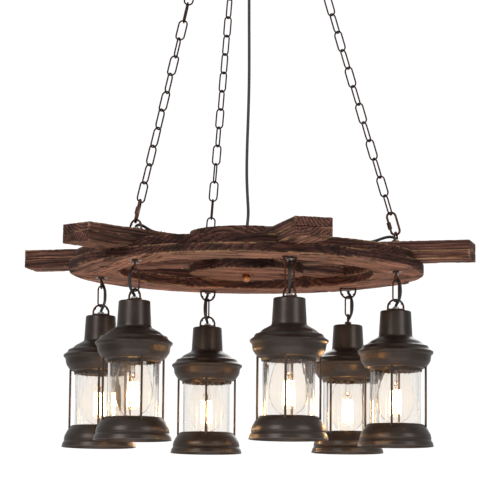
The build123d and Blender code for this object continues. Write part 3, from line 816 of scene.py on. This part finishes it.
def lathe(name, outline, place, steps=96, closed=True, shape=None, sharp=35.0):
    """A shape spun about the vertical through place from its (radius, depth) outline in mm."""
    bm = bmesh.new()
    rings = []
    for k in range(steps):
        turn = 2 * pi * k / steps
        ring = []
        for radius, depth in outline:
            if shape is not None:
                radius, depth = shape(radius, depth, turn)
            spot = Vector((radius * cos(turn), radius * sin(turn), -depth)) * MM
            ring.append(bm.verts.new(spot + Vector(place)))
        rings.append(ring)
    last = len(outline) if closed else len(outline) - 1
    for k in range(steps):
        here, there = rings[k], rings[(k + 1) % steps]
        for i in range(last):
            after = (i + 1) % len(outline)
            bm.faces.new((here[i], there[i], there[after], here[after]))
    bmesh.ops.remove_doubles(bm, verts=bm.verts, dist=1e-6)
    return mesh_object(name, bm, sharp)


def join(name, pieces):
    """One object from several that share a material list."""
    bm = bmesh.new()
    for piece in pieces:
        bm.from_mesh(piece.data)
    for piece in pieces:
        bpy.data.objects.remove(piece)
    return mesh_object(name, bm)


def dress(obj, material, slot, body, *nodes):
    obj.data.materials.clear()
    obj.data.materials.append(material)
    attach(obj, body)
    if nodes:
        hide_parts(*nodes)
    return obj


CAP_LINE = (
    (5, 0), (26.5, 0), (29, 45), (43, 52.5), (50, 58.5), (56, 60.5), (58.5, 65.5),
    (65, 70), (64.6, 73.5), (61.4, 76.5), (59.8, 87), (52.5, 97.5), (46, 100), (45.4, 105),
)
CAP_RADII = (3, 6, 6, 3, 2, 2.5, 1.2, 1.0, 1.2, 12, 5, 1.5)
BASE_LINE = (
    (45.8, 196.6), (46.3, 194.6), (48.2, 194.9), (55, 202.5), (60.3, 212.5), (61.6, 219),
    (61, 221.5), (64, 226), (65.6, 232.5),
)
BASE_RADII = (0.6, 0.8, 12, 12, 1.2, 1.2, 4)
SHEET = 1.2


def scalloped(radius, depth, turn):
    """Cuts the gallery below the bowl into scallops."""
    gallery = 101.5
    if depth > gallery:
        depth -= 1.3 * sin(14 * turn) ** 2 * min((depth - gallery) / 3.0, 1.0)
    return radius, depth


def add_cap(number, place):
    line = split_runs(rounded(CAP_LINE, CAP_RADII), 6.0)
    cap = lathe(f"cap_shell_{number}", walled(line, SHEET), place, 112, shape=scalloped)
    dress(cap, BRONZE, "bronze_paint", f"lantern_{number}", f"cap_{number}")


def add_cage(number, place):
    line = split_runs(rounded(BASE_LINE, BASE_RADII), 5.0)
    rim = lathe("rim", walled(line, SHEET), place, 96)
    seat = lathe("seat", [(38.5, 197.0), (50.5, 197.0), (50.5, 198.2), (38.5, 198.2)], place, 96)
    parts = [rim, seat]
    rod_line = split_runs([Vector((ROD_RADIUS, 96.4)), Vector((ROD_RADIUS, 200.6))], 12.0)
    outline = [Vector((0, 96.0)), Vector((1.5, 96.0))] + rod_line
    outline += [Vector((1.5, 201.0)), Vector((0, 201.0))]
    for quarter in range(4):
        spot = Vector(place) + around(ROD_CIRCLE, ROD_DIRECTIONS[number - 1] + 90 * quarter)
        parts.append(lathe("rod", outline, spot, 14, closed=False))
    cage = join(f"cage_frame_{number}", parts)
    dress(cage, BRONZE, "bronze_paint", f"lantern_{number}", f"cage_{number}")


def add_glass(number, place):
    outer, inner = 43.0, 40.5
    line = [
        (inner + 0.6, 94.0), (outer - 0.6, 94.0), (outer, 94.6), (outer, 130.0), (outer, 165.0),
        (outer, 196.4), (outer - 0.6, 197.0), (inner + 0.6, 197.0), (inner, 196.4), (inner, 165.0),
        (inner, 130.0), (inner, 94.6),
    ]
    glass = lathe(f"glass_tube_{number}", [Vector(p) for p in line], place, 128)
    dress(glass, GLASS, "clear_glass", f"lantern_{number}", f"glass_{number}")


def add_holder(number, place):
    """Nickel nipple with its washer and ferrule above the cap, and the lampholder inside it."""
    fitting_line = [
        (3.2, -5.2), (2.55, -5.6), (3.5, -7.0), (4.1, -7.0), (5.4, -6.2), (5.4, -5.0), (6.2, -4.9),
        (6.2, -3.8), (4.8, -3.8), (4.8, -1.2), (10.6, -1.2), (11.0, -0.9), (11.0, -0.2), (10.8, 0.0),
        (4.8, 0.0), (4.8, 29.0), (3.2, 29.0),
    ]
    fitting = lathe(f"cap_fitting_{number}", [Vector(p) for p in fitting_line], place, 48)
    nut_line = [Vector(p) for p in ((4.9, 1.2), (8.2, 1.2), (8.2, 3.8), (4.9, 3.8))]
    nut = lathe("nut", nut_line, place, 6, sharp=20)
    fitting = join(f"cap_fitting_{number}", [fitting, nut])
    dress(fitting, NICKEL, "nickel", f"lantern_{number}", f"lampholder_{number}")
    holder_line = [Vector(p) for p in (
        (4.9, 24), (10, 24), (10, 31), (17.5, 31), (19.5, 33), (19.5, 80), (13.3, 80), (13.3, 50),
        (4.9, 50),
    )]
    body = split_runs(rounded(holder_line, (0.8, 1.2, 1.0, 0.8, 0.8, 0.5, 0.8)), 4.0)

    def ribbed(radius, depth, turn):
        grip = radius > 19.3 and 40 < depth < 74
        return (radius - 0.35 * (1 + cos(36 * turn)) if grip else radius), depth

    holder = lathe(f"bulb_holder_{number}", body, place, 72, shape=ribbed)
    dress(holder, BAKELITE, "black_rubber", f"lantern_{number}", f"lampholder_{number}")


def bulb_outline():
    """The teardrop of the bulb from its neck to its foot, as a smooth line through a few points."""
    line = ((13, 80), (16.4, 90), (22.5, 108), (29.8, 135), (32, 153), (28.5, 172), (16, 188.5), (0, 193))
    curve = bpy.data.curves.new("bulb_line", "CURVE")
    curve.dimensions = "3D"
    curve.resolution_u = 6
    spline = curve.splines.new("BEZIER")
    spline.bezier_points.add(len(line) - 1)
    for knot, (radius, depth) in zip(spline.bezier_points, line):
        knot.co = (radius, depth, 0)
        knot.handle_left_type = knot.handle_right_type = "AUTO"
    foot = spline.bezier_points[-1]
    foot.handle_left_type = foot.handle_right_type = "FREE"
    foot.handle_left = (6.5, 193, 0)
    foot.handle_right = (-6.5, 193, 0)
    obj = bpy.data.objects.new("bulb_line", curve)
    bpy.context.scene.collection.objects.link(obj)
    points = [Vector((max(v.co.x, 0.0), v.co.y)) for v in taken_mesh(obj).vertices]
    points[-1].x = 0.0
    return points


BULB_OUTLINE = bulb_outline()


FILAMENT_BARS = 10
FILAMENT_TOP = (8.4, 138.0)
FILAMENT_FOOT = (9.6, 175.0)


def about(place, radius, depth, turn):
    """A point at a radius and a depth in mm below a place, and an angle in radians."""
    return Vector(place) + Vector((radius * cos(turn), radius * sin(turn), -depth)) * MM


def wire_object(name, paths, thickness):
    """Thin wires along the given paths as one mesh object."""
    mesh = taken_mesh(nurbs_curve(name, paths, thickness * MM))
    mesh.name = name
    mesh.shade_smooth()
    obj = bpy.data.objects.new(name, mesh)
    bpy.context.scene.collection.objects.link(obj)
    return obj


def filament_path(place):
    """Upright bars of wire in a ring, joined by turns at their tops and feet."""
    path = []
    for k in range(FILAMENT_BARS):
        here = 2 * pi * k / FILAMENT_BARS
        ends = (FILAMENT_FOOT, FILAMENT_TOP) if k % 2 else (FILAMENT_TOP, FILAMENT_FOOT)
        (first_radius, first), (last_radius, last) = ends
        bend = 2.2 if last > first else -2.2
        path.append(about(place, first_radius, first, here))
        path.append(about(place, (first_radius + last_radius) / 2 + 0.3, (first + last) / 2, here + 0.04))
        path.append(about(place, last_radius, last, here))
        path.append(about(place, last_radius, last + bend, here + pi / FILAMENT_BARS))
    return path + path[:1]


def add_supports(number, place):
    """Curled wires which hold the filament, from a glass stem above and from its tip below."""
    pieces = []
    for k in range(FILAMENT_BARS // 2):
        upper = 2 * pi * (2 * k - 0.5) / FILAMENT_BARS
        curl = [
            (1.6, 126.0, 0.0), (4.0, 122.5, 0.1), (7.2, 124.5, 0.25), (8.4, 130.0, 0.1),
            (6.6, 133.5, -0.2), (7.0, 136.5, -0.1), (8.6, 137.0, 0.0),
        ]
        pieces.append([about(place, radius, depth, upper + lean) for radius, depth, lean in curl])
        lower = 2 * pi * (2 * k + 0.5) / FILAMENT_BARS
        hook = [(1.2, 172.0, 0.0), (4.5, 174.0, 0.0), (9.0, 177.6, 0.0), (9.8, 176.6, 0.0)]
        pieces.append([about(place, radius, depth, lower + lean) for radius, depth, lean in hook])
    hooks = wire_object(f"filament_hooks_{number}", pieces, 0.44)
    dress(hooks, BRASS, "bulb_glass", f"bulb_{number}", f"bulb_{number}")


def add_bulb(number, place):
    body = f"bulb_{number}"
    shell = walled(BULB_OUTLINE, -0.5)
    shell[len(BULB_OUTLINE)].x = 0.0
    glass = lathe(f"bulb_shell_{number}", shell, place, 96, closed=True)
    dress(glass, BULB_GLASS, "bulb_glass", body, f"bulb_{number}")
    # screw cap: three turns of thread seen as rounded ridges
    ridges = [(13.15 - 0.5 * (1 + cos(2 * pi * k / 8)), 54 + 22 * k / 48) for k in range(49)]
    screw_line = [(0, 50.4), (4, 50.4), (4, 51.4), (8.5, 52.2), (12.2, 53.2)] + ridges
    screw_line += [(12.4, 77), (12.4, 80), (0, 80)]
    screw = lathe(f"bulb_screw_{number}", [Vector(p) for p in screw_line], place, 64, closed=False)
    dress(screw, BRASS, "nickel", body, f"bulb_{number}")
    stem_line = [Vector(p) for p in (
        (0, 80.1), (11.5, 80.1), (7, 84), (4.6, 94), (3.6, 108), (3.8, 118), (4.4, 123), (3.2, 127.5),
        (1.3, 130), (1.2, 150), (1.2, 170), (1.8, 173), (0, 174.5),
    )]
    stem = lathe(f"bulb_stem_{number}", stem_line, place, 32, closed=False)
    dress(stem, STEM_GLASS, "bulb_glass", body, f"bulb_{number}")
    filament = wire_object(f"filament_{number}", [filament_path(place)], 1.35)
    dress(filament, FILAMENT, "bulb_glass", body, f"bulb_{number}")
    add_supports(number, place)
    lamp_data = bpy.data.lights.new(f"glow_{number}", "POINT")
    lamp_data.energy = 0.7
    lamp_data.color = (1.0, 0.52, 0.18)
    lamp_data.shadow_soft_size = 0.011
    lamp = bpy.data.objects.new(f"glow_{number}", lamp_data)
    lamp.location = Vector(place) + Vector((0, 0, -0.156))
    bpy.context.scene.collection.objects.link(lamp)
    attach(lamp, body)


for number, hook in zip(NUMBERS, HOOKS):
    cap_place = (hook.x, hook.y, CAP_TOP)
    add_cap(number, cap_place)
    add_cage(number, cap_place)
    add_glass(number, cap_place)
    add_holder(number, cap_place)
    add_bulb(number, cap_place)


# ---------------------------------------------------------------- screws and lead clips
def cross_slot(radius, depth, turn):
    """Sinks a cross into a screw's head."""
    slotted = radius < 2.1 and abs(sin(2 * turn)) < 0.4
    return radius, (depth + 0.7 if slotted else depth)


def add_screws():
    """Pan-headed screws down through each spoke, and the small nails of the lead clips."""
    head = [(0, -1.7), (1.0, -1.68), (2.0, -1.6), (2.2, -1.5), (3.3, -1.0), (4.0, -0.3), (4.0, 0)]
    shank = [(2.0, 0), (2.0, 40.0), (0, 44.0)]
    nail = [(0, -3.6), (1.2, -3.5), (1.9, -3.1), (1.9, -2.8), (0.7, -2.8), (0.7, 8.0), (0, 9.0)]
    screws, nails = [], []
    for azimuth in AZIMUTHS:
        for radius, aside in SCREW_SPOTS:
            spot = around(radius, azimuth, SPOKE_TOP) + around(aside, azimuth + 90) + Vector((0, 0, WHEEL))
            screws.append(lathe("screw", [Vector(p) for p in head + shank], spot, 24, False, cross_slot))
        for radius in CLIP_SPOTS:
            spot = around(radius, azimuth, SPOKE_TOP) + around(-6.4, azimuth + 90) + Vector((0, 0, WHEEL))
            nails.append(lathe("nail", [Vector(p) for p in nail], spot, 16, False))
    dress(join("spoke_screws", screws), DARK_SCREW, "zinc", "frame", "screws_and_clips")
    dress(join("clip_nails", nails), ZINC, "zinc", "frame", "screws_and_clips")


def add_clips():
    """A saddle over the lead at each clip, with a foot for its nail."""
    bed, outer, inner, foot = LEAD / 2 + 0.1, LEAD / 2 + 1.9, LEAD / 2 + 0.4, 2.8
    arc = [pi * k / 12 for k in range(13)]
    outline = [(8.5, 0.0), (8.5, foot - 0.5), (8.0, foot), (outer, foot)]
    outline += [(outer * cos(t), bed + outer * sin(t)) for t in arc[1:]]
    outline += [(-outer, 0.0), (-inner, 0.0)]
    outline += [(inner * cos(t), bed + inner * sin(t)) for t in reversed(arc)]
    outline.append((inner, 0.0))
    bm = bmesh.new()
    for azimuth in AZIMUTHS:
        for radius in CLIP_SPOTS:
            sides = []
            for along in (-2.5, 2.5):
                middle = around(radius + along, azimuth, SPOKE_TOP) + Vector((0, 0, WHEEL))
                side = [middle + around(-y, azimuth + 90, z) for y, z in outline]
                sides.append([bm.verts.new(spot) for spot in side])
            bm.faces.new(sides[0])
            bm.faces.new(reversed(sides[1]))
            for k in range(len(outline)):
                after = (k + 1) % len(outline)
                bm.faces.new((sides[0][k], sides[0][after], sides[1][after], sides[1][k]))
    dress(mesh_object("lead_clips", bm), CLEAR_PLASTIC, "clear_plastic", "frame", "screws_and_clips")


add_screws()
add_clips()


# ---------------------------------------------------------------- CAD parts that stay
def finish_nodes(material, *nodes):
    for node in nodes:
        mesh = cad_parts[node].data
        mesh.materials.clear()
        mesh.materials.append(material)


finish_nodes(ZINC, "ceiling_bracket")
finish_nodes(BRONZE, "canopy_cup")
finish_nodes(COPPER, "canopy_fittings", "quick_links", "wheel_loops")
finish_nodes(COPPER, *[f"link_{n}" for n in NUMBERS], *[f"lantern_loop_{n}" for n in NUMBERS])
finish_nodes(CHAIN, "chain_links")
finish_nodes(NICKEL, "spoke_nipples")
finish_nodes(BALL, "hub_bolt")
finish_nodes(RUBBER, "cord_fittings")


# ---------------------------------------------------------------- studio
def add_studio():
    scene = bpy.context.scene
    scene.view_settings.view_transform = "Standard"
    world = bpy.data.worlds.new("studio")
    scene.world = world
    world.use_nodes = True
    tree = world.node_tree
    backdrop = tree.nodes["Background"]
    path = add_node(tree, "LightPath")
    seen = math_node(tree, "MAXIMUM", path.outputs["Is Camera Ray"], path.outputs["Is Transmission Ray"])
    strength = math_node(tree, "ADD", math_node(tree, "MULTIPLY", seen, 0.45), 0.6)
    tree.links.new(strength, backdrop.inputs["Strength"])
    backdrop.inputs["Color"].default_value = (1.0, 1.0, 1.0, 1.0)

    bpy.ops.mesh.primitive_plane_add(size=40.0, location=(0, 0, -2.4))
    floor = bpy.context.object
    floor.name = "floor"
    material, tree, shader = new_material("floor")
    speck = noise_node(tree, object_coordinates(tree), 3.0)
    tree.links.new(ramp_node(tree, speck, ((0.3, 0.86), (0.7, 0.9))), shader.inputs["Base Color"])
    shader.inputs["Roughness"].default_value = 0.7
    floor.data.materials.append(material)

    softboxes = (
        ("key", (-2.1, -2.6, 0.5), 1.5, 44.0),
        ("fill", (2.3, -2.3, 0.0), 1.5, 26.0),
        ("lift", (0.0, -1.0, -2.25), 2.6, 19.0),
        ("rim", (0.4, 2.8, 0.3), 1.8, 26.0),
    )
    for name, spot, size, energy in softboxes:
        data = bpy.data.lights.new(name, "AREA")
        data.size = size
        data.energy = energy
        lamp = bpy.data.objects.new(name, data)
        lamp.visible_camera = False
        lamp.location = spot
        aim = Vector((0, 0, WHEEL)) - lamp.location
        lamp.rotation_euler = aim.to_track_quat("-Z", "Y").to_euler()
        scene.collection.objects.link(lamp)


add_studio()

bpy.context.view_layer.update()
